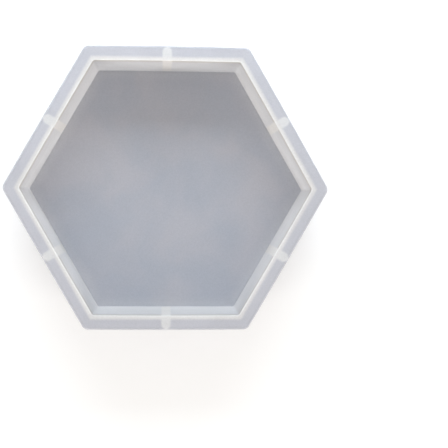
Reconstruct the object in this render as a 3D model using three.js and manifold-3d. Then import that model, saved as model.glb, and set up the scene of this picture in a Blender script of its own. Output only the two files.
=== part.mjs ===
// Resin casting mould: a hexagonal silicone tray, open upwards, for casting a thick hexagonal
// block. The real mould is one moulding. Here it is laid out by its moulded regions: the floor,
// and on each of the six sides a wall, a length of rim flange outside the wall's top, and a
// stiffening rib under the flange at the middle of the side.
//
// Millimetres, +Z up out of the cavity. The origin is the middle of the underside. Two corners
// of the hexagon lie on the X axis, so two flat sides face along Y.

import * as THREE from 'three';
import { mergeVertices } from 'three/addons/utils/BufferGeometryUtils.js';
import Module from 'manifold-3d';

const wasm = await Module();
wasm.setup();

// Driving dimensions
const SIDES = 6;
const OPENING_SIDE = 100; // side of the hexagonal opening at the rim, so 200 from corner to corner
const CAVITY_DEPTH = 50;
const DRAFT = THREE.MathUtils.degToRad(1); // the cavity narrows towards its floor
const FLOOR_THICKNESS = 3;
const WALL_THICKNESS = 3;
const WALL_CORNER_RADIUS = 6.5; // the wall's outer face, in plan
const FLANGE_WIDTH = 7; // how far the rim reaches past the wall
const FLANGE_THICKNESS = 4;
const FLANGE_CORNER_RADIUS = 5.5; // in plan
const EDGE_RADIUS = 1.5; // along the flange's outer edge and round the underside
const RIB_WIDTH = 7;
const RIB_SETBACK = 0.9; // from the flange's outer edge to the rib's round end
const JOIN_GAP = 0.3; // kept between neighbouring regions
const ARC_STEPS = 4; // half the number of facets on each rounded corner
const EDGE_STEPS = 3; // facets across a rounded edge

// Worked out from them. An apothem is the distance from the mould's axis to the middle of a side.
const HALF_SECTOR = Math.PI / SIDES;
const OPENING_APOTHEM = OPENING_SIDE * Math.cos(HALF_SECTOR);
const FLOOR_APOTHEM = OPENING_APOTHEM - CAVITY_DEPTH * Math.tan(DRAFT);
const BASE_APOTHEM = FLOOR_APOTHEM + WALL_THICKNESS;
const HEIGHT = FLOOR_THICKNESS + CAVITY_DEPTH;
const WALL_BOTTOM = FLOOR_THICKNESS + JOIN_GAP;
const FLANGE_BOTTOM = HEIGHT - FLANGE_THICKNESS;
const WALL_TOP_APOTHEM = BASE_APOTHEM * flareAt(HEIGHT);
const FLANGE_APOTHEM = WALL_TOP_APOTHEM + FLANGE_WIDTH;

const FINISH = {
  floor: { color: 0xc6c7ce, roughness: 0.62, metalness: 0 },
  wall: { color: 0xdcdbdd, roughness: 0.5, metalness: 0 },
  flange: { color: 0xd3d5de, roughness: 0.5, metalness: 0 },
  rib: { color: 0xe2e0e1, roughness: 0.5, metalness: 0 },
};

// How much wider the drafted walls are at this height than at the floor.
function flareAt(z) {
  return 1 + ((z - FLOOR_THICKNESS) * Math.tan(DRAFT)) / FLOOR_APOTHEM;
}

// A regular hexagon with two sides facing along Y and round corners.
function roundedHexagon(apothem, cornerRadius) {
  const shape = new THREE.Shape();
  const reach = (apothem - cornerRadius) / Math.cos(HALF_SECTOR);
  for (let corner = 0; corner < SIDES; corner++) {
    const angle = corner * 2 * HALF_SECTOR;
    const x = reach * Math.cos(angle);
    const y = reach * Math.sin(angle);
    shape.absarc(x, y, cornerRadius, angle - HALF_SECTOR, angle + HALF_SECTOR);
  }
  return shape;
}

// The share of the plan that belongs to the side facing +Y, from one apothem to another. Its
// slanted ends are the mitres with the neighbouring sides, half a gap short of the corner lines.
function sectorPlan(innerApothem, outerApothem) {
  const halfWidth = (y) => y * Math.tan(HALF_SECTOR) - JOIN_GAP / 2 / Math.cos(HALF_SECTOR);
  return new THREE.Shape([
    new THREE.Vector2(-halfWidth(innerApothem), innerApothem),
    new THREE.Vector2(halfWidth(innerApothem), innerApothem),
    new THREE.Vector2(halfWidth(outerApothem), outerApothem),
    new THREE.Vector2(-halfWidth(outerApothem), outerApothem),
  ]);
}

function prism(shape, bottom, top) {
  const options = { depth: top - bottom, bevelEnabled: false, curveSegments: ARC_STEPS };
  return new THREE.ExtrudeGeometry(shape, options).translate(0, 0, bottom);
}

// A plate whose upper and lower edges are rounded inside its outline.
function roundEdgedPlate(shape, bottom, top) {
  const options = {
    depth: top - bottom - 2 * EDGE_RADIUS,
    bevelThickness: EDGE_RADIUS,
    bevelSize: EDGE_RADIUS,
    bevelOffset: -EDGE_RADIUS,
    bevelSegments: EDGE_STEPS,
    curveSegments: ARC_STEPS,
  };
  return new THREE.ExtrudeGeometry(shape, options).translate(0, 0, bottom + EDGE_RADIUS);
}

function toSolid(geometry) {
  const bare = geometry.clone();
  bare.deleteAttribute('normal');
  bare.deleteAttribute('uv');
  const merged = mergeVertices(bare, 1e-4);
  return new wasm.Manifold(
    new wasm.Mesh({
      numProp: 3,
      vertProperties: Float32Array.from(merged.getAttribute('position').array),
      triVerts: Uint32Array.from(merged.getIndex().array),
    }),
  );
}

function toGeometry(solid) {
  const mesh = solid.getMesh();
  const geometry = new THREE.BufferGeometry();
  geometry.setAttribute('position', new THREE.BufferAttribute(mesh.vertProperties, 3));
  geometry.setIndex(new THREE.BufferAttribute(mesh.triVerts, 1));
  geometry.computeVertexNormals();
  return geometry;
}

function overlapOf(first, second) {
  return toGeometry(toSolid(first).intersect(toSolid(second)));
}

// Moves each point of a geometry in place.
function reshape(geometry, move) {
  const position = geometry.getAttribute('position');
  const point = new THREE.Vector3();
  for (let i = 0; i < position.count; i++) {
    move(point.fromBufferAttribute(position, i));
    position.setXYZ(i, point.x, point.y, point.z);
  }
  geometry.computeVertexNormals();
  return geometry;
}

function floorPanel() {
  const outline = roundedHexagon(BASE_APOTHEM, WALL_CORNER_RADIUS);
  const deepPlate = roundEdgedPlate(outline, 0, 2 * FLOOR_THICKNESS);
  const keep = prism(roundedHexagon(BASE_APOTHEM + 1, WALL_CORNER_RADIUS), -1, FLOOR_THICKNESS);
  return overlapOf(deepPlate, keep);
}

// Made upright at the size it has at the floor, and then leaned outwards by the draft.
function sideWall() {
  const outside = prism(roundedHexagon(BASE_APOTHEM, WALL_CORNER_RADIUS), WALL_BOTTOM, HEIGHT);
  const sector = prism(sectorPlan(FLOOR_APOTHEM, BASE_APOTHEM + 1), WALL_BOTTOM - 1, HEIGHT + 1);
  return reshape(overlapOf(outside, sector), (point) => {
    const flare = flareAt(point.z);
    point.x *= flare;
    point.y *= flare;
  });
}

function rimFlange() {
  const outline = roundedHexagon(FLANGE_APOTHEM, FLANGE_CORNER_RADIUS);
  const plate = roundEdgedPlate(outline, FLANGE_BOTTOM, HEIGHT);
  const plan = sectorPlan(WALL_TOP_APOTHEM + JOIN_GAP, FLANGE_APOTHEM + 1);
  return overlapOf(plate, prism(plan, FLANGE_BOTTOM - 1, HEIGHT + 1));
}

// A buttress with a round outer end, whose inner face leans with the wall that it backs.
function sideRib() {
  const inner = BASE_APOTHEM + JOIN_GAP;
  const halfWidth = RIB_WIDTH / 2;
  const endCentre = FLANGE_APOTHEM - RIB_SETBACK - halfWidth;
  const plan = new THREE.Shape();
  plan.moveTo(-halfWidth, inner);
  plan.lineTo(halfWidth, inner);
  plan.absarc(0, endCentre, halfWidth, 0, Math.PI);
  return reshape(prism(plan, 0, FLANGE_BOTTOM - JOIN_GAP), (point) => {
    if (point.y < inner + JOIN_GAP) point.y += point.z * Math.tan(DRAFT);
  });
}

function named(name, geometry, finish) {
  const mesh = new THREE.Mesh(geometry, new THREE.MeshStandardMaterial(finish));
  mesh.name = name;
  return mesh;
}

const mould = new THREE.Group();
mould.add(named('floor_panel', floorPanel(), FINISH.floor));

// Sides are numbered anticlockwise from above, starting at the one that faces +Y.
for (let side = 0; side < SIDES; side++) {
  const group = new THREE.Group();
  group.rotation.z = side * 2 * HALF_SECTOR;
  group.add(named(`side_wall_${side + 1}`, sideWall(), FINISH.wall));
  group.add(named(`rim_flange_${side + 1}`, rimFlange(), FINISH.flange));
  group.add(named(`side_rib_${side + 1}`, sideRib(), FINISH.rib));
  mould.add(group);
}

export default mould;
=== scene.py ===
"""Looks of a hexagonal resin casting mould: a frosted silicone skin with ribs, on a studio table."""

import math

import bmesh
import bpy
from bpy.props import FloatProperty, FloatVectorProperty, IntProperty, PointerProperty
from mathutils import Euler, Matrix, Vector


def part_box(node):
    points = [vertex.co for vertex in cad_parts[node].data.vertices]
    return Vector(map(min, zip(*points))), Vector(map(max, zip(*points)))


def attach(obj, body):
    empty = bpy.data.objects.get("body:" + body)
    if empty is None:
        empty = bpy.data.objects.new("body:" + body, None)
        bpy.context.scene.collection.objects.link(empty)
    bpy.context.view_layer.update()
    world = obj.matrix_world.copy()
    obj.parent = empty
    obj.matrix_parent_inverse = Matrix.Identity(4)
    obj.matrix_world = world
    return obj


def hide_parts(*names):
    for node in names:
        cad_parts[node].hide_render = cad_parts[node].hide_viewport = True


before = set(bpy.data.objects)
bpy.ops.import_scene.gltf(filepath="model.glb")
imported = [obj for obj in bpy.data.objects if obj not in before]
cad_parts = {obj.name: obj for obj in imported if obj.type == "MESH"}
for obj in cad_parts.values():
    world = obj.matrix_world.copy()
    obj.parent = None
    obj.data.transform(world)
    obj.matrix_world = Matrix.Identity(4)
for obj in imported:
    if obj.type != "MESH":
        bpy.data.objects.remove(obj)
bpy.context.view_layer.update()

bl_info = {
    "name": "Resin Casting Mould",
    "version": (1, 0, 0),
    "blender": (4, 5, 0),
    "location": "3D View > Sidebar > Mould",
    "description": "Builds the silicone body, ribs and finish of a hexagonal casting mould",
    "category": "Add Mesh",
}

MM = 0.001
SIDES = 6
HALF_SECTOR = math.pi / SIDES

# The moulding's main sizes, read from the frame. Side 1 faces +Y, so its Y values are apothems,
# the distances from the mould's axis to the middle of a side.
WALL_LOW, WALL_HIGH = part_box("side_wall_1")
FLANGE_LOW, FLANGE_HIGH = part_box("rim_flange_1")
RIB_LOW, RIB_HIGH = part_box("side_rib_1")
FLOOR_LOW, FLOOR_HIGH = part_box("floor_panel")
RIM_TOP = WALL_HIGH.z
FLOOR_TOP = FLOOR_HIGH.z
FLANGE_BOTTOM = FLANGE_LOW.z
FLANGE_HEIGHT = RIM_TOP - FLANGE_BOTTOM
BASE_APOTHEM = FLOOR_HIGH.y
FLOOR_APOTHEM = WALL_LOW.y
WALL_TOP_APOTHEM = WALL_HIGH.y
FLANGE_APOTHEM = FLANGE_HIGH.y
RIB_HALF_WIDTH = RIB_HIGH.x
RIB_END = RIB_HIGH.y
FLARE = (WALL_TOP_APOTHEM / BASE_APOTHEM - 1) / (RIM_TOP - FLOOR_TOP)


def flare_at(z):
    """How much wider the drafted walls are at this height than at the cavity's floor."""
    return 1 + FLARE * (z - FLOOR_TOP)


OPENING_APOTHEM = FLOOR_APOTHEM * flare_at(RIM_TOP)


# ---------------------------------------------------------------------------------------------
# Settings
# ---------------------------------------------------------------------------------------------


def length(name, description, default):
    return FloatProperty(name=name, description=description, default=default, min=0, unit="LENGTH")


def colour(name, description, default):
    return FloatVectorProperty(
        name=name, description=description, default=default, min=0, max=1, size=3, subtype="COLOR"
    )


def share(name, description, default):
    return FloatProperty(
        name=name, description=description, default=default, min=0, max=1, subtype="FACTOR"
    )


def count(name, description, default):
    return IntProperty(name=name, description=description, default=default, min=2)


class MouldShape(bpy.types.PropertyGroup):
    """Fillets, corners and the slight unevenness of the soft moulding."""

    opening_corner: length("Opening corner", "Corner radius of the opening, in plan", 2.4 * MM)
    floor_corner: length("Floor corner", "Corner radius of the cavity's floor, in plan", 1.8 * MM)
    base_corner: length("Base corner", "Corner radius of the wall's outer face, in plan", 6.5 * MM)
    flange_corner: length("Flange corner", "Corner radius of the rim flange, in plan", 4.4 * MM)
    base_edge: length("Base edge", "Radius of the edge round the underside", 1.5 * MM)
    flange_edge: length("Flange upper edge", "Radius of the flange's upper outer edge", 1.0 * MM)
    flange_underedge: length("Flange lower edge", "Radius of the flange's lower edge", 0.7 * MM)
    flange_root: length("Flange root", "Fillet between the wall and the flange's underside", 1.2 * MM)
    lip_edge: length("Lip", "Radius of the opening's edge", 0.4 * MM)
    floor_fillet: length("Floor fillet", "Fillet between the cavity's floor and wall", 0.8 * MM)
    parting_bead: length("Parting bead", "How far the parting line stands out", 0.12 * MM)
    bow: length("Bow", "How far the middle of a side bows out past its ends at the rim", 0.25 * MM)
    waviness: length("Waviness", "How far the soft walls and floor wander from true", 0.1 * MM)
    rib_root: length("Rib root", "Fillet between a rib and the wall behind it", 1.8 * MM)
    rib_foot: length("Rib foot", "Radius of the edge at a rib's foot", 0.7 * MM)
    corner_steps: count("Corner steps", "Facets round a corner", 8)
    side_steps: count("Side steps", "Facets along a side", 14)
    edge_steps: count("Edge steps", "Facets across a rounded edge", 5)


class MouldFinish(bpy.types.PropertyGroup):
    """Colours of the frosted silicone, in lighter and darker copies of one material: painted light makes
    it whiter the thicker it is behind the surface, standing in for light scattered inside it.
    """

    outside: colour("Outside", "Backs of the walls and the underside", (0.475, 0.48, 0.515))
    # Painted shade: the thin flange is painted darker than the outside, standing in for light lost through
    # it.
    flange: colour("Flange", "The thin rim flange", (0.434, 0.437, 0.471))
    # Painted shade on the flange's rounded outer edge, where it turns away from the light.
    flange_edge: colour("Flange edge", "The flange's rounded outer edge", (0.365, 0.37, 0.4))
    # Painted light: the rim over the wall is painted whiter, standing in for light scattered back from the
    # deep silicone there.
    wall_end_painted_light: colour("Wall end", "The wall's upper end, the deepest silicone", (0.55, 0.543, 0.54))
    # Painted light and shade: the cavity walls are painted darker near the opening and lighter at the
    # foot, standing in for how light falls in the cavity.
    wall_top_shaded: colour("Wall top", "Cavity walls near the opening", (0.52, 0.52, 0.53))
    wall_foot_lit: colour("Wall foot", "Cavity walls near the floor", (0.607, 0.607, 0.614))
    # Painted shade: a darker warm band on the walls just below the lip, where the lip shades them.
    painted_lip_shade: colour("Under the lip", "Just below the opening's edge", (0.47, 0.45, 0.43))
    # Painted shade: the thin floor is painted darker than the outside, standing in for light lost through
    # it.
    floor: colour("Floor", "Cavity floor, the thinnest silicone", (0.437, 0.45, 0.497))
    floor_warm: colour("Floor patches", "Warmer, thicker patches of the floor", (0.462, 0.457, 0.49))
    # Painted light: where a rib backs the flange or a wall, the surface is painted whiter, standing in for
    # light scattered back in the thicker silicone.
    rib_light_on_flange: colour("Rib on the flange", "Where a rib backs the flange", (0.57, 0.57, 0.57))
    rib_light_on_wall: colour("Rib on the wall", "Where a rib backs a cavity wall", (0.66, 0.642, 0.618))
    # Painted light: the ribs are painted whiter than the outside, standing in for light scattered back in
    # the thicker silicone.
    rib: colour("Rib", "The ribs themselves, thicker than the wall", (0.52, 0.52, 0.545))
    painted_rib_light_share: share("Rib share", "How strongly a rib shows through the silicone", 0.9)
    grain: share("Grain", "How much the fine grain lightens and darkens the colour", 0.2)
    translucency: share("Translucency", "Share of the light that is scattered inside the silicone", 0.9)
    scatter: length("Scatter", "How far light travels inside the silicone", 5 * MM)
    roughness: share("Roughness", "Roughness of the frosted surface", 0.52)


def strength(name, description, default):
    return FloatProperty(name=name, description=description, default=default, min=0)


def power(name, description, default):
    return FloatProperty(name=name, description=description, default=default, min=0, unit="POWER")


class MouldStage(bpy.types.PropertyGroup):
    """Table, studio light and camera."""

    table: colour("Table", "Colour of the pale table", (0.87, 0.87, 0.87))
    sky: strength("Sky", "Strength of the even light all round", 0.71)
    key: power("Key light", "Power of the cool softbox behind the mould", 2.75)
    overhead: power("Overhead light", "Power of the light straight above", 1)
    cards: power("Reflector cards", "Power of each low warm light in front of the mould", 153)
    camera_height: length("Camera height", "Height of the camera above the rim", 672.6 * MM)
    lens: FloatProperty(name="Lens", description="Focal length in millimetres", default=79.34, min=1)


# ---------------------------------------------------------------------------------------------
# Mesh work
# ---------------------------------------------------------------------------------------------


def hexagon_ring(bm, apothem, corner, z, shape):
    """A level ring of edges: a hexagon with two sides facing along Y and round corners."""
    level = Matrix.Translation((0, 0, z)) @ Matrix.Rotation(math.pi / 2, 4, "Z")
    made = bmesh.ops.create_circle(
        bm, cap_ends=True, segments=SIDES, radius=apothem / math.cos(HALF_SECTOR), matrix=level
    )
    rounded = bmesh.ops.bevel(
        bm, geom=made["verts"], offset=corner * math.tan(HALF_SECTOR), offset_type="OFFSET",
        segments=shape.corner_steps, profile=0.5, affect="VERTICES", material=-1,
    )
    face = rounded["verts"][0].link_faces[0]
    straight = sorted(face.edges, key=lambda edge: -edge.calc_length())[:SIDES]
    bmesh.ops.subdivide_edges(bm, edges=straight, cuts=shape.side_steps - 1)
    edges = list(face.edges)
    bmesh.ops.delete(bm, geom=[face], context="FACES_ONLY")
    return edges


def arc(apothem, z, radius, start, stop, steps):
    """Points (apothem, z) on an arc about a centre, from one angle to another in degrees."""
    for step in range(steps + 1):
        angle = math.radians(start + (stop - start) * step / steps)
        yield apothem + radius * math.cos(angle), z + radius * math.sin(angle)


def between(first, last, shares):
    """Points part of the way from one (apothem, corner radius, z) to another."""
    for part in shares:
        yield tuple(a + (b - a) * part for a, b in zip(first, last))


WALL_RINGS = (0.03, 0.2, 0.4, 0.6, 0.8, 0.97)  # shares of a wall's height, closer near its ends


def underside_profile(shape):
    edge, corner = shape.base_edge, shape.base_corner
    yield from between((0, 0, 0), (BASE_APOTHEM, corner, 0), (0.1, 0.4, 0.7, 0.92, 0.98))
    for apothem, z in arc(BASE_APOTHEM - edge, edge, edge, -90, 0, shape.edge_steps):
        yield apothem, corner, z


def wall_back_profile(shape):
    bottom, top = shape.base_edge, FLANGE_BOTTOM - shape.flange_root
    first = (BASE_APOTHEM, shape.base_corner, bottom)
    last = (BASE_APOTHEM * flare_at(top), shape.base_corner, top)
    yield from between(first, last, WALL_RINGS)
    root = shape.flange_root
    for apothem, z in arc(last[0] + root, top, root, 180, 90, shape.edge_steps):
        yield apothem, shape.base_corner, z


def flange_profile(shape):
    """Out along the flange's underside, round its edge and parting line, and in over its top."""
    bead, corner, steps = shape.parting_bead, shape.flange_corner, shape.edge_steps
    reach = FLANGE_APOTHEM - bead
    low, high = shape.flange_underedge, shape.flange_edge
    for apothem, z in arc(reach - low, FLANGE_BOTTOM + low, low, -90, 0, steps):
        yield apothem, corner, z
    middle = FLANGE_BOTTOM + FLANGE_HEIGHT / 2
    yield reach, corner, middle - 2 * bead
    yield reach + bead, corner, middle
    yield reach, corner, middle + 2 * bead
    for apothem, z in arc(reach - high, RIM_TOP - high, high, 0, 90, steps):
        yield apothem, corner, z
    outer = (reach - high, corner, RIM_TOP)
    inner = (OPENING_APOTHEM + shape.lip_edge, shape.opening_corner, RIM_TOP)
    yield from between(outer, inner, (0.08, 0.35, 0.65, 0.92))


def cavity_profile(shape):
    """Over the opening's lip, down the drafted wall, and in across the floor."""
    lip, fillet = shape.lip_edge, shape.floor_fillet
    for apothem, z in arc(OPENING_APOTHEM + lip, RIM_TOP - lip, lip, 90, 180, shape.edge_steps):
        yield apothem, shape.opening_corner, z
    upper = (FLOOR_APOTHEM * flare_at(RIM_TOP - lip), shape.opening_corner, RIM_TOP - lip)
    lower = (FLOOR_APOTHEM * flare_at(FLOOR_TOP + fillet), shape.floor_corner, FLOOR_TOP + fillet)
    yield from between(upper, lower, WALL_RINGS)
    for apothem, z in arc(lower[0] - fillet, lower[2], fillet, 0, -90, shape.edge_steps):
        yield apothem, shape.floor_corner, z
    edge = (lower[0] - fillet, shape.floor_corner, FLOOR_TOP)
    yield from between(edge, (0, 0, FLOOR_TOP), (0.02, 0.1, 0.25, 0.45, 0.65, 0.85))


def side_normals():
    """The outward normals of the six sides, starting with the one that faces +Y."""
    for side in range(SIDES):
        angle = math.pi / 2 + side * 2 * HALF_SECTOR
        yield Vector((math.cos(angle), math.sin(angle), 0))


def relax(bm, shape):
    """Bows the sides and lets the soft walls wander a little, never past the true outline."""
    for vert in bm.verts:
        normal = max(side_normals(), key=vert.co.dot)
        apothem = normal.dot(vert.co)
        if apothem < FLOOR_APOTHEM / 2:
            continue
        along = normal.cross(vert.co).z / (apothem * math.tan(HALF_SECTOR))
        angle = math.atan2(vert.co.y, vert.co.x)
        # Two waves round the mould, one long and one short, between 0 and 1 together.
        wander = 0.5 + (math.sin(2 * angle + 0.7) + 0.6 * math.sin(5 * angle + 2.1)) / 3.2
        inward = (shape.bow * along**2 + shape.waviness * wander) * vert.co.z / RIM_TOP
        vert.co.xy *= 1 - inward / apothem


PROFILE = (underside_profile, wall_back_profile, flange_profile, cavity_profile)
STACK_STEP = 10 * MM


def build_body(shape):
    """The whole skin as one closed surface, from rings that follow the moulding's profile."""
    bm = bmesh.new()
    profile = [point for part in PROFILE for point in part(shape)]
    # Rings at one height can't be paired reliably, so they are bridged as a tall stack first.
    rings = [
        hexagon_ring(bm, apothem, corner, level * STACK_STEP, shape)
        for level, (apothem, corner, _) in enumerate(profile)
    ]
    for ring, following in zip(rings, rings[1:]):
        bmesh.ops.bridge_loops(bm, edges=ring + following)
    for ring, (_, _, z) in zip(rings, profile):
        for edge in ring:
            for vert in edge.verts:
                vert.co.z = z
    for end in (rings[0], rings[-1]):
        bmesh.ops.contextual_create(bm, geom=end)
    relax(bm, shape)
    return bm


RIB_CLEAR = 0.05 * MM  # kept between a rib and the wall, the flange and the table
NEARLY_ROUND = 0.98  # of the full radius, so that two rounded corners don't meet in one point


def rib_outline(bm, shape):
    """The rib's plan as one face: a wide foot on the wall, a straight web and a round outer end."""
    back = BASE_APOTHEM + RIB_CLEAR
    step = back + RIB_CLEAR
    spread = RIB_HALF_WIDTH + shape.rib_root
    right = ((spread, back), (spread, step), (RIB_HALF_WIDTH, step), (RIB_HALF_WIDTH, RIB_END))
    corners = [bm.verts.new((x, y, RIB_CLEAR)) for x, y in right]
    corners += [bm.verts.new((-x, y, RIB_CLEAR)) for x, y in reversed(right)]
    bm.faces.new(corners)
    ends, roots = (corners[3], corners[4]), (corners[2], corners[5])
    for verts, radius in ((ends, RIB_HALF_WIDTH), (roots, shape.rib_root)):
        bmesh.ops.bevel(
            bm, geom=verts, offset=radius * NEARLY_ROUND, offset_type="OFFSET",
            segments=shape.corner_steps, profile=0.5, affect="VERTICES", material=-1,
        )


def lean_back(bm):
    """Leans the rib's inner side out with the drafted wall, and its outer end not at all."""
    back = BASE_APOTHEM + RIB_CLEAR
    for vert in bm.verts:
        nearness = max(0.0, 1 - (vert.co.y - back) / (RIB_END - back))
        vert.co.y += BASE_APOTHEM * FLARE * max(0.0, vert.co.z - FLOOR_TOP) * nearness


def build_rib(shape, side):
    """One buttress: a round outer end, a root that spreads onto the wall, and a rounded foot."""
    bm = bmesh.new()
    rib_outline(bm, shape)
    rise = FLANGE_BOTTOM - 2 * RIB_CLEAR
    made = bmesh.ops.extrude_face_region(bm, geom=bm.faces[:], use_keep_orig=True)
    raised = [item for item in made["geom"] if isinstance(item, bmesh.types.BMVert)]
    bmesh.ops.translate(bm, verts=raised, vec=(0, 0, rise))
    root_end = BASE_APOTHEM + 2 * RIB_CLEAR + shape.rib_root
    foot = [edge for edge in bm.edges if all(vert.co.z < rise / 2 for vert in edge.verts)]
    foot = [edge for edge in foot if max(vert.co.y for vert in edge.verts) > root_end]
    bmesh.ops.bevel(
        bm, geom=foot, offset=shape.rib_foot, offset_type="OFFSET", segments=3,
        profile=0.5, affect="EDGES", material=-1,
    )
    upright = [edge for edge in bm.edges if edge.calc_length() > rise / 2]
    bmesh.ops.subdivide_edges(bm, edges=upright, cuts=4, use_grid_fill=True)
    lean_back(bm)
    # Extruding leaves the faces in an order that changes from run to run.
    order = Vector((1.0, 0.62, 0.31))
    bm.verts.sort(key=lambda vert: vert.co.dot(order))
    bm.faces.sort(key=lambda face: face.calc_center_median().dot(order))
    turn = Matrix.Rotation(side * 2 * HALF_SECTOR, 3, "Z")
    bmesh.ops.rotate(bm, verts=bm.verts, cent=(0, 0, 0), matrix=turn)
    return bm


def finish_piece(name, bm, material, nodes):
    """Makes the piece from its bmesh, with its doubles merged and its faces outward."""
    bmesh.ops.remove_doubles(bm, verts=bm.verts, dist=0.001 * MM)
    bmesh.ops.recalc_face_normals(bm, faces=bm.faces)
    if not all(edge.is_manifold for edge in bm.edges):
        raise RuntimeError(f"{name} isn't a closed surface")
    mesh = bpy.data.meshes.new(name)
    bm.to_mesh(mesh)
    bm.free()
    mesh.shade_smooth()
    mesh.materials.append(material)
    piece = bpy.data.objects.new(name, mesh)
    bpy.context.scene.collection.objects.link(piece)
    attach(piece, "root")
    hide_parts(*nodes)
    return piece


# ---------------------------------------------------------------------------------------------
# Shader work
# ---------------------------------------------------------------------------------------------


def add(tree, kind, inputs=None, **settings):
    """A node with its settings, and its inputs given as numbers, colours or other nodes' outputs."""
    node = tree.nodes.new(kind)
    for setting, value in settings.items():
        setattr(node, setting, value)
    for socket, value in (inputs or {}).items():
        if isinstance(value, bpy.types.NodeSocket):
            tree.links.new(value, node.inputs[socket])
        else:
            node.inputs[socket].default_value = value
    return node


def maths(tree, operation, *values):
    return add(tree, "ShaderNodeMath", dict(enumerate(values)), operation=operation).outputs[0]


def above(tree, value, low, high):
    """0 below low and 1 above high, with a soft step between them."""
    inputs = {"Value": value, "From Min": low, "From Max": high}
    return add(tree, "ShaderNodeMapRange", inputs, interpolation_type="SMOOTHSTEP").outputs[0]


def below(tree, value, low, high):
    return maths(tree, "SUBTRACT", 1.0, above(tree, value, low, high))


def opaque(value):
    return value if isinstance(value, bpy.types.NodeSocket) else (*value, 1.0)


def blend(tree, factor, first, second):
    """A colour part of the way from first to second."""
    # A Mix node keeps its colours in inputs 6 and 7 and its blended colour in output 2.
    pair = {"Factor": factor, 6: opaque(first), 7: opaque(second)}
    return add(tree, "ShaderNodeMix", pair, data_type="RGBA", clamp_factor=True).outputs[2]


def new_group(name, inputs, outputs):
    """A shader group with these sockets. Returns its tree, its input node and its output node."""
    tree = bpy.data.node_groups.new(name, "ShaderNodeTree")
    for label, kind, default in inputs:
        socket = tree.interface.new_socket(name=label, in_out="INPUT", socket_type=kind)
        if default is not None:
            socket.default_value = default
    for label in outputs:
        tree.interface.new_socket(name=label, in_out="OUTPUT", socket_type="NodeSocketFloat")
    return tree, tree.nodes.new("NodeGroupInput"), tree.nodes.new("NodeGroupOutput")


def place(tree, group, **inputs):
    """Places a group in a material, its inputs named with underscores for spaces."""
    node = tree.nodes.new("ShaderNodeGroup")
    node.node_tree = group
    for label, value in inputs.items():
        socket = node.inputs[label.replace("_", " ")]
        if isinstance(value, bpy.types.NodeSocket):
            tree.links.new(value, socket)
        else:
            socket.default_value = value
    return node


def reach_along(tree, position, axis):
    """How far a position is from the middle along an axis, either way."""
    dot = add(tree, "ShaderNodeVectorMath", {0: position, 1: axis}, operation="DOT_PRODUCT")
    return maths(tree, "ABSOLUTE", dot.outputs["Value"])


def hexagon_group():
    """Distance from the mould's axis, measured square to the nearest side."""
    tree, given, result = new_group(
        "Hexagon Distance", [("Position", "NodeSocketVector", None)], ["Distance"]
    )
    reach = 0.0
    for normal in list(side_normals())[: SIDES // 2]:
        reach = maths(tree, "MAXIMUM", reach, reach_along(tree, given.outputs["Position"], normal))
    tree.links.new(reach, result.inputs["Distance"])
    return tree


def rib_group():
    """Where a rib lies behind the surface: a strip across the middle of each side, with a round end."""
    tree, given, result = new_group(
        "Rib Behind",
        [
            ("Position", "NodeSocketVector", None),
            ("Half Width", "NodeSocketFloat", 3.5 * MM),
            ("Outer End", "NodeSocketFloat", 95 * MM),
            ("Softness", "NodeSocketFloat", 0.5 * MM),
        ],
        ["Mask"],
    )
    position = given.outputs["Position"]
    half_width = given.outputs["Half Width"]
    softness = given.outputs["Softness"]
    centre = maths(tree, "SUBTRACT", given.outputs["Outer End"], half_width)
    inner = maths(tree, "SUBTRACT", half_width, softness)
    outer = maths(tree, "ADD", half_width, softness)
    mask = 0.0
    for normal in list(side_normals())[: SIDES // 2]:
        along = reach_along(tree, position, normal.cross((0, 0, 1)))
        past = maths(tree, "SUBTRACT", reach_along(tree, position, normal), centre)
        past = maths(tree, "MAXIMUM", past, 0.0)
        squares = (maths(tree, "MULTIPLY", part, part) for part in (past, along))
        away = maths(tree, "SQRT", maths(tree, "ADD", *squares))
        mask = maths(tree, "MAXIMUM", mask, below(tree, away, inner, outer))
    tree.links.new(mask, result.inputs["Mask"])
    return tree


def frost_group():
    """Cloudy patches, smudges in the gloss and a fine frosted grain, each from 0 to 1."""
    tree, given, result = new_group(
        "Silicone Frost",
        [
            ("Position", "NodeSocketVector", None),
            ("Patch Size", "NodeSocketFloat", 40 * MM),
            ("Grain Size", "NodeSocketFloat", 1.1 * MM),
        ],
        ["Cloud", "Grain", "Smudge"],
    )
    position = given.outputs["Position"]

    def noise(size, detail, distortion):
        scale = maths(tree, "DIVIDE", 1.0, size)
        inputs = {"Vector": position, "Scale": scale, "Detail": detail, "Distortion": distortion}
        return add(tree, "ShaderNodeTexNoise", inputs, noise_dimensions="3D").outputs["Fac"]

    patches = noise(given.outputs["Patch Size"], detail=3.0, distortion=0.6)
    tree.links.new(above(tree, patches, 0.3, 0.7), result.inputs["Cloud"])
    grain = noise(given.outputs["Grain Size"], detail=3.0, distortion=0.0)
    tree.links.new(grain, result.inputs["Grain"])
    smudge_size = maths(tree, "MULTIPLY", given.outputs["Patch Size"], 0.35)
    smudges = noise(smudge_size, detail=4.0, distortion=1.2)
    tree.links.new(above(tree, smudges, 0.42, 0.68), result.inputs["Smudge"])
    return tree


def shared_group(name, make):
    """The group of this name, built the first time that it is asked for."""
    return bpy.data.node_groups.get(name) or make()


def object_position(tree):
    return add(tree, "ShaderNodeTexCoord").outputs["Object"]


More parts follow.
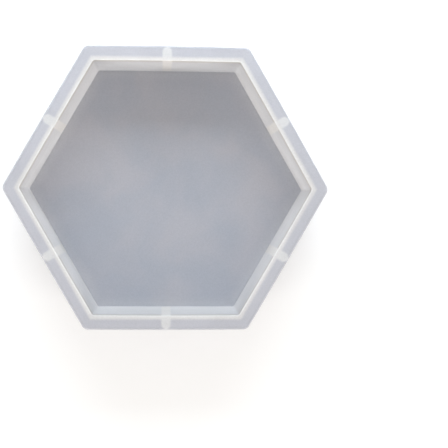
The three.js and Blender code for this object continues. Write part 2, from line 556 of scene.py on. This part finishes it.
def silicone_shader(tree, base, frost, finish):
    """The frosted, light-scattering surface that all the silicone has."""
    smudging = 0.1
    evenly = finish.roughness - smudging / 2
    roughness = maths(tree, "MULTIPLY_ADD", frost.outputs["Smudge"], smudging, evenly)
    relief = {"Strength": 0.4, "Distance": 0.06 * MM, "Height": frost.outputs["Grain"]}
    bump = add(tree, "ShaderNodeBump", relief)
    shader = add(
        tree,
        "ShaderNodeBsdfPrincipled",
        {
            "Base Color": base,
            "Roughness": roughness,
            "IOR": 1.41,
            "Subsurface Weight": finish.translucency,
            "Subsurface Radius": (1.0, 0.97, 0.95),
            "Subsurface Scale": finish.scatter,
            "Specular IOR Level": 0.4,
            "Normal": bump.outputs[0],
        },
    )
    output = add(tree, "ShaderNodeOutputMaterial")
    tree.links.new(shader.outputs[0], output.inputs["Surface"])


def frosted(tree, base, frost, cloud, grain):
    """Lightens and darkens a colour by the silicone's cloudiness and by its fine grain."""
    level = maths(tree, "MULTIPLY_ADD", frost.outputs["Cloud"], cloud, 1 - cloud / 2 - grain / 2)
    level = maths(tree, "MULTIPLY_ADD", frost.outputs["Grain"], grain, level)
    return add(tree, "ShaderNodeVectorMath", {0: base, "Scale": level}, operation="SCALE").outputs[0]


def new_material(name):
    material = bpy.data.materials.new(name)
    material.use_nodes = True
    material.node_tree.nodes.clear()
    return material, material.node_tree


def body_material(finish):
    """Frosted silicone whose whiteness follows how deep it is behind each part of the surface: painted
    light and shade standing in for light scattered inside it, with painted shade under the lip and at the
    flange's edge and a painted glow on the floor by the walls.
    """
    material, tree = new_material("frosted_silicone_body")
    position = object_position(tree)
    height = add(tree, "ShaderNodeSeparateXYZ", {0: position}).outputs["Z"]
    distance = place(tree, shared_group("Hexagon Distance", hexagon_group), Position=position).outputs[0]
    frost = place(tree, shared_group("Silicone Frost", frost_group), Position=position)
    # Painted light over the ribs behind the surface, scaled by how strongly it shows.
    rib = place(
        tree, shared_group("Rib Behind", rib_group), Position=position,
        Half_Width=RIB_HALF_WIDTH - 0.3 * MM, Outer_End=RIB_END, Softness=0.9 * MM,
    ).outputs[0]
    rib = maths(tree, "MULTIPLY", rib, finish.painted_rib_light_share)

    # The surface inside the wall's middle is the cavity; the rest is the outside.
    flare = maths(tree, "MULTIPLY_ADD", height, FLARE, 1 - FLARE * FLOOR_TOP)
    wall_middle = maths(tree, "MULTIPLY", flare, (FLOOR_APOTHEM + BASE_APOTHEM) / 2)
    inside = below(tree, maths(tree, "SUBTRACT", distance, wall_middle), -0.2 * MM, 0.2 * MM)
    inside = maths(tree, "MULTIPLY", inside, above(tree, height, FLOOR_TOP * 0.4, FLOOR_TOP * 0.6))
    on_floor = below(tree, height, FLOOR_TOP + 0.2 * MM, FLOOR_TOP + 1.2 * MM)
    on_flange = above(tree, height, FLANGE_BOTTOM - 0.5 * MM, FLANGE_BOTTOM)
    on_top = above(tree, height, RIM_TOP - 0.6 * MM, RIM_TOP - 0.3 * MM)
    # Painted shade: the flange darkens towards its rounded outer edge.
    painted_edge_shade = above(tree, distance, FLANGE_APOTHEM - 3.2 * MM, FLANGE_APOTHEM - 0.4 * MM)
    # Painted light: a whiter line on the rim over the wall's upper end.
    painted_wall_end_light = below(tree, distance, WALL_TOP_APOTHEM - 1.7 * MM, WALL_TOP_APOTHEM + 0.6 * MM)
    # Painted light: the floor is lightened towards the walls, standing in for light thrown onto it by the
    # bright walls.
    painted_wall_glow = maths(tree, "MULTIPLY", above(tree, distance, FLOOR_APOTHEM - 9 * MM, FLOOR_APOTHEM), 0.3)
    # Painted light and shade: the walls run from lighter at the foot to darker at the opening.
    high = above(tree, height, FLOOR_TOP, RIM_TOP)
    # Painted shade below the opening's lip.
    painted_lip_shade = above(tree, height, RIM_TOP - 9 * MM, RIM_TOP - 3 * MM)

    wall = blend(tree, high, finish.wall_foot_lit, finish.wall_top_shaded)
    wall = blend(tree, painted_lip_shade, wall, finish.painted_lip_shade)
    wall = blend(tree, rib, wall, finish.rib_light_on_wall)
    floor = blend(tree, frost.outputs["Cloud"], finish.floor, finish.floor_warm)
    floor = blend(tree, painted_wall_glow, floor, finish.wall_foot_lit)
    cavity = blend(tree, on_floor, wall, floor)
    flange = blend(tree, painted_edge_shade, finish.flange, finish.flange_edge)
    flange = blend(tree, rib, flange, finish.rib_light_on_flange)
    outside = blend(tree, on_flange, finish.outside, flange)
    rim = blend(tree, painted_wall_end_light, flange, finish.wall_end_painted_light)
    base = blend(tree, inside, outside, cavity)
    base = blend(tree, on_top, base, rim)
    silicone_shader(tree, frosted(tree, base, frost, 0.05, finish.grain), frost, finish)
    return material


def rib_material(finish):
    """The same silicone, painted a little whiter because a rib is thicker than the wall: painted light
    standing in for light scattered back inside it.
    """
    material, tree = new_material("frosted_silicone_rib")
    position = object_position(tree)
    frost = place(tree, shared_group("Silicone Frost", frost_group), Position=position, Patch_Size=18 * MM)
    silicone_shader(tree, frosted(tree, finish.rib, frost, 0.06, finish.grain), frost, finish)
    return material


def table_material(stage):
    """A pale matt table top with a faint unevenness."""
    material, tree = new_material("pale_table")
    position = object_position(tree)
    noise = add(tree, "ShaderNodeTexNoise", {"Vector": position, "Scale": 3.0, "Detail": 3.0})
    darker = [part * 0.98 for part in stage.table]
    table = blend(tree, noise.outputs["Fac"], darker, stage.table)
    surface = {"Base Color": table, "Roughness": 0.7, "Specular IOR Level": 0.2}
    shader = add(tree, "ShaderNodeBsdfPrincipled", surface)
    output = add(tree, "ShaderNodeOutputMaterial")
    tree.links.new(shader.outputs[0], output.inputs["Surface"])
    return material


# ---------------------------------------------------------------------------------------------
# Studio
# ---------------------------------------------------------------------------------------------

TABLE_REACH = 40.0  # far enough that its edge is out of sight
COOL, NEUTRAL, WARM = (0.82, 0.915, 1.0), (1.0, 1.0, 1.0), (1.0, 0.955, 0.91)
SKY_TINT = (1.0, 0.985, 0.965, 1.0)
CAMERA_SIDESTEP = (-0.8 * MM, -6.1 * MM)
CAMERA_TILT = (-1.532, -3.395, 0.375)  # degrees about X, Y and Z from straight down


def lay_table(stage):
    bm = bmesh.new()
    bmesh.ops.create_grid(bm, x_segments=8, y_segments=8, size=TABLE_REACH)
    mesh = bpy.data.meshes.new("studio_floor")
    bm.to_mesh(mesh)
    bm.free()
    mesh.materials.append(table_material(stage))
    table = bpy.data.objects.new("studio_floor", mesh)
    bpy.context.scene.collection.objects.link(table)


def light_sky(scene, stage):
    world = bpy.data.worlds.new("studio_sky")
    world.use_nodes = True
    background = world.node_tree.nodes["Background"]
    background.inputs["Color"].default_value = SKY_TINT
    background.inputs["Strength"].default_value = stage.sky
    scene.world = world


def hang_light(name, energy, tint, size, place_at):
    """A rectangular softbox that faces the middle of the mould and stays out of the picture."""
    light = bpy.data.lights.new(name, "AREA")
    light.shape = "RECTANGLE"
    light.size, light.size_y = size
    light.energy = energy
    light.color = tint
    lamp = bpy.data.objects.new(name, light)
    lamp.location = place_at
    lamp.rotation_euler = (-lamp.location).to_track_quat("-Z", "Y").to_euler()
    lamp.visible_camera = False
    bpy.context.scene.collection.objects.link(lamp)


def hang_lights(stage):
    hang_light("key_softbox", stage.key, COOL, (0.6, 0.25), (0.0, 0.44, 0.34))
    hang_light("overhead_softbox", stage.overhead, NEUTRAL, (0.8, 0.8), (0.0, -0.1, 1.3))
    hang_light("left_card", stage.cards, WARM, (4.0, 1.17), (-4.0, -2.9, 1.78))
    hang_light("right_card", stage.cards, WARM, (4.0, 1.17), (4.0, -2.9, 1.78))


def aim_camera(scene, stage):
    """Looks almost straight down into the open mould."""
    camera = bpy.data.objects.new("camera", bpy.data.cameras.new("camera"))
    camera.data.lens = stage.lens
    camera.location = (*CAMERA_SIDESTEP, RIM_TOP + stage.camera_height)
    camera.rotation_euler = Euler(map(math.radians, CAMERA_TILT), "XYZ")
    camera.data.clip_start, camera.data.clip_end = 0.01, 100
    scene.collection.objects.link(camera)
    scene.camera = camera
    scene.view_settings.view_transform = "Standard"


# ---------------------------------------------------------------------------------------------
# Operators
# ---------------------------------------------------------------------------------------------


def node_names(*stems):
    return [f"{stem}_{side + 1}" for stem in stems for side in range(SIDES)]


class MOULD_OT_body(bpy.types.Operator):
    """Build the floor, walls and rim flange as one continuous silicone skin"""

    bl_idname = "mould.body"
    bl_label = "Silicone Body"

    def execute(self, context):
        scene = context.scene
        nodes = ["floor_panel", *node_names("side_wall", "rim_flange")]
        material = body_material(scene.mould_finish)
        finish_piece("mould_body", build_body(scene.mould_shape), material, nodes)
        return {"FINISHED"}


class MOULD_OT_ribs(bpy.types.Operator):
    """Build the six stiffening ribs behind the walls"""

    bl_idname = "mould.ribs"
    bl_label = "Side Ribs"

    def execute(self, context):
        scene = context.scene
        material = rib_material(scene.mould_finish)
        for side, name in enumerate(node_names("side_rib")):
            finish_piece(f"silicone_{name}", build_rib(scene.mould_shape, side), material, [name])
        return {"FINISHED"}


class MOULD_OT_stage(bpy.types.Operator):
    """Lay the pale table, hang the studio lights and set up the camera"""

    bl_idname = "mould.stage"
    bl_label = "Studio Stage"

    def execute(self, context):
        stage = context.scene.mould_stage
        lay_table(stage)
        light_sky(context.scene, stage)
        hang_lights(stage)
        aim_camera(context.scene, stage)
        return {"FINISHED"}


STEPS = (MOULD_OT_body, MOULD_OT_ribs, MOULD_OT_stage)


class MOULD_PT_sidebar(bpy.types.Panel):
    """Mould building steps and settings"""

    bl_idname = "MOULD_PT_sidebar"
    bl_label = "Resin Casting Mould"
    bl_space_type = "VIEW_3D"
    bl_region_type = "UI"
    bl_category = "Mould"

    def draw(self, context):
        for step in STEPS:
            self.layout.operator(step.bl_idname)
        for settings in (context.scene.mould_shape, context.scene.mould_finish, context.scene.mould_stage):
            box = self.layout.box()
            for setting in settings.bl_rna.properties:
                if setting.identifier not in {"rna_type", "name"}:
                    box.prop(settings, setting.identifier)


CLASSES = (MouldShape, MouldFinish, MouldStage, *STEPS, MOULD_PT_sidebar)


def register():
    for cls in CLASSES:
        bpy.utils.register_class(cls)
    bpy.types.Scene.mould_shape = PointerProperty(type=MouldShape)
    bpy.types.Scene.mould_finish = PointerProperty(type=MouldFinish)
    bpy.types.Scene.mould_stage = PointerProperty(type=MouldStage)


def unregister():
    del bpy.types.Scene.mould_stage
    del bpy.types.Scene.mould_finish
    del bpy.types.Scene.mould_shape
    for cls in reversed(CLASSES):
        bpy.utils.unregister_class(cls)


def main():
    register()
    bpy.ops.mould.body()
    bpy.ops.mould.ribs()
    bpy.ops.mould.stage()


if __name__ == "__main__":
    main()
